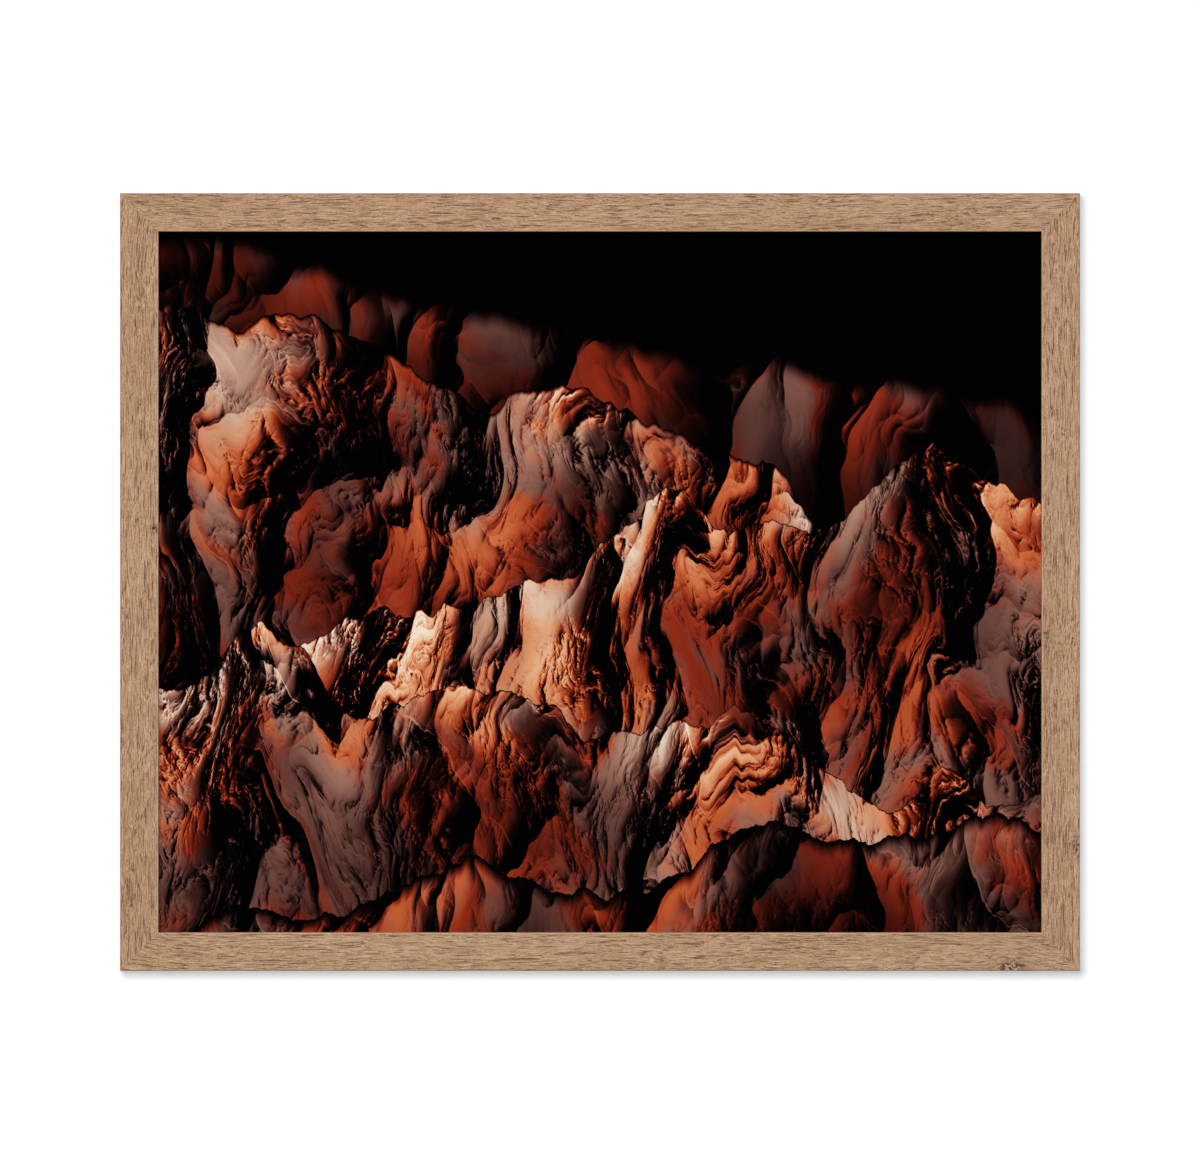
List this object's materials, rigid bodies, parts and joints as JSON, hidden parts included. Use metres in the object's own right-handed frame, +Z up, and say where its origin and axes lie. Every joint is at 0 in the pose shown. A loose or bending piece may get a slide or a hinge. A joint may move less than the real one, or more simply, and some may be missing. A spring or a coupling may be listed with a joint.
{
  "type": "framed wall picture",
  "caption": "Framed wall picture: mitred oak moulding around a glazed print, with a backing card, a back panel held by turn buttons, and a sawtooth hanger.",
  "frame": {"origin": "the point on the wall that the picture hangs from: the root of the hanger's middle notch, taken on the plane of the wall, which the bumpers' faces touch", "axes": "+Z up; the picture faces -Y and the wall is on the +Y side; +X is to the right of someone who looks at the picture"},
  "size_m": [0.527, 0.0212, 0.427],
  "materials": {
    "oak": "satin",
    "acrylic_glazing": "polished",
    "printed_paper": "satin",
    "grey_card": "matte",
    "fibreboard": "matte",
    "zinc_plate": "satin",
    "black_rubber": "matte"
  },
  "bodies": {
    "frame": {"stick_top": "oak", "stick_right": "oak", "stick_bottom": "oak", "stick_left": "oak", "glazing": "acrylic_glazing", "print": "printed_paper", "backing_card": "grey_card", "back_panel": "fibreboard", "button_screw_top_left": "zinc_plate", "button_screw_top_right": "zinc_plate", "button_screw_right": "zinc_plate", "button_screw_bottom_right": "zinc_plate", "button_screw_bottom_left": "zinc_plate", "button_screw_left": "zinc_plate", "hanger": "zinc_plate", "hanger_screw_left": "zinc_plate", "hanger_screw_right": "zinc_plate", "mitre_nail_top_left_1": "zinc_plate", "mitre_nail_top_left_2": "zinc_plate", "mitre_nail_top_right_1": "zinc_plate", "mitre_nail_top_right_2": "zinc_plate", "mitre_nail_bottom_right_1": "zinc_plate", "mitre_nail_bottom_right_2": "zinc_plate", "mitre_nail_bottom_left_1": "zinc_plate", "mitre_nail_bottom_left_2": "zinc_plate", "bumper_left": "black_rubber", "bumper_right": "black_rubber"},
    "button_top_left": {"button_top_left": "zinc_plate"},
    "button_top_right": {"button_top_right": "zinc_plate"},
    "button_right": {"button_right": "zinc_plate"},
    "button_bottom_right": {"button_bottom_right": "zinc_plate"},
    "button_bottom_left": {"button_bottom_left": "zinc_plate"},
    "button_left": {"button_left": "zinc_plate"}
  },
  "joints": [
    {"name": "turn_top_left", "type": "hinge", "parent": "frame", "child": "button_top_left", "pos_m": [-0.15, -0.0025, 0.00375], "axis": [0, 1, 0], "continuous": true},
    {"name": "turn_top_right", "type": "hinge", "parent": "frame", "child": "button_top_right", "pos_m": [0.15, -0.0025, 0.00375], "axis": [0, 1, 0], "continuous": true},
    {"name": "turn_right", "type": "hinge", "parent": "frame", "child": "button_right", "pos_m": [0.25725, -0.0025, -0.2035], "axis": [0, 1, 0], "continuous": true},
    {"name": "turn_bottom_right", "type": "hinge", "parent": "frame", "child": "button_bottom_right", "pos_m": [0.15, -0.0025, -0.41075], "axis": [0, 1, 0], "continuous": true},
    {"name": "turn_bottom_left", "type": "hinge", "parent": "frame", "child": "button_bottom_left", "pos_m": [-0.15, -0.0025, -0.41075], "axis": [0, 1, 0], "continuous": true},
    {"name": "turn_left", "type": "hinge", "parent": "frame", "child": "button_left", "pos_m": [-0.25725, -0.0025, -0.2035], "axis": [0, 1, 0], "continuous": true}
  ]
}
